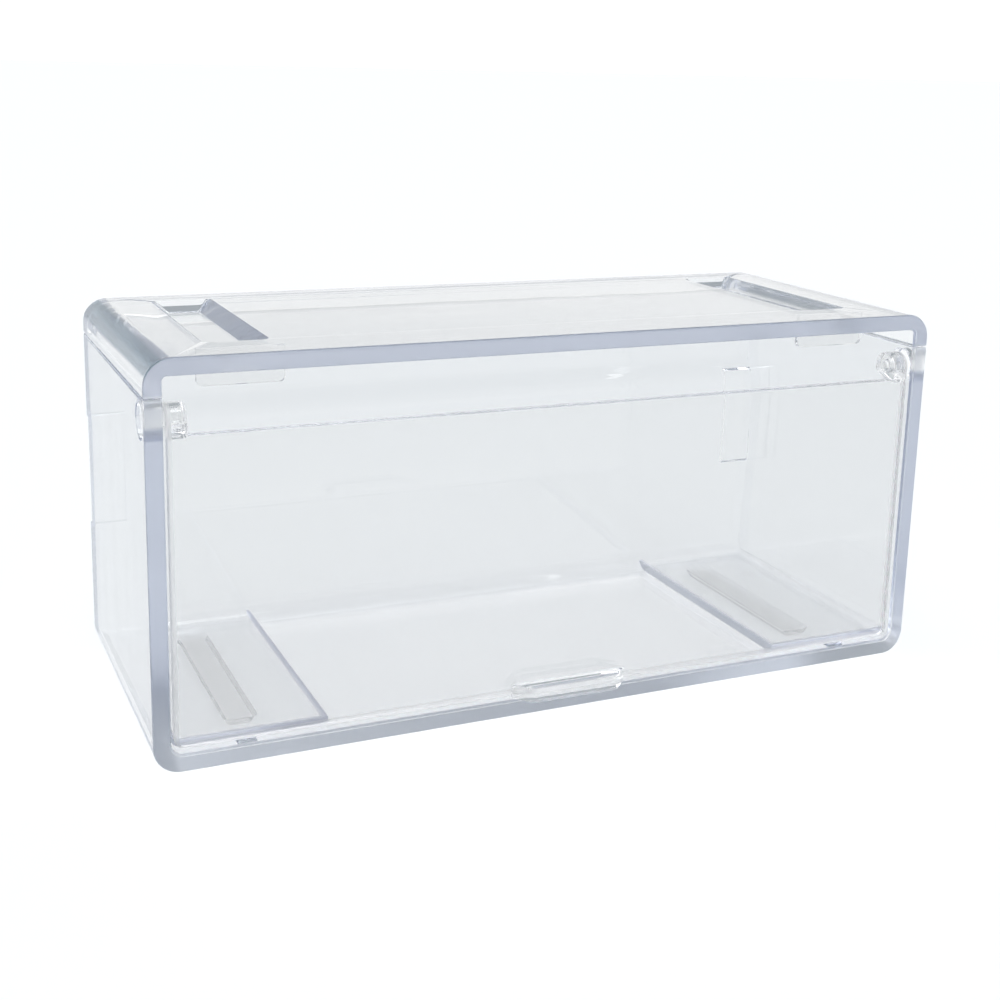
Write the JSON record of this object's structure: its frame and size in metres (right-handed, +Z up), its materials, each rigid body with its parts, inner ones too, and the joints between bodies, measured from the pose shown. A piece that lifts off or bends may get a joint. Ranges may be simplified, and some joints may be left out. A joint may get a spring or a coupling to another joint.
{
  "type": "card deck box",
  "caption": "Clear stackable deck box with a bonded cover, end pockets on top, rails below and a front door that swings out and up.",
  "frame": {"origin": "middle of the box's footprint, on the surface that it stands on", "axes": "+X along the width, to the right seen from the door; the door is on the -Y side; +Z up"},
  "size_m": [0.23, 0.0966, 0.1085],
  "materials": {
    "case_plastic": "polished, clear",
    "cover_plastic": "polished, clear",
    "door_plastic": "polished, clear",
    "pull_plastic": "polished, clear",
    "pin_plastic": "polished, clear",
    "pad_plastic": "polished, clear",
    "rail_plastic": "polished, clear"
  },
  "bodies": {
    "case": {"case_shell": "case_plastic", "top_cover": "cover_plastic", "hinge_pin_left": "pin_plastic", "hinge_pin_right": "pin_plastic", "floor_pad_left": "pad_plastic", "floor_pad_right": "pad_plastic", "foot_rail_left": "rail_plastic", "foot_rail_right": "rail_plastic"},
    "door": {"front_door": "door_plastic", "finger_pull": "pull_plastic"}
  },
  "joints": [
    {"name": "door_hinge", "type": "hinge", "parent": "case", "child": "door", "pos_m": [0, -0.03785, 0.0926], "axis": [-1, 0, 0], "range_deg": [0, 127]}
  ]
}
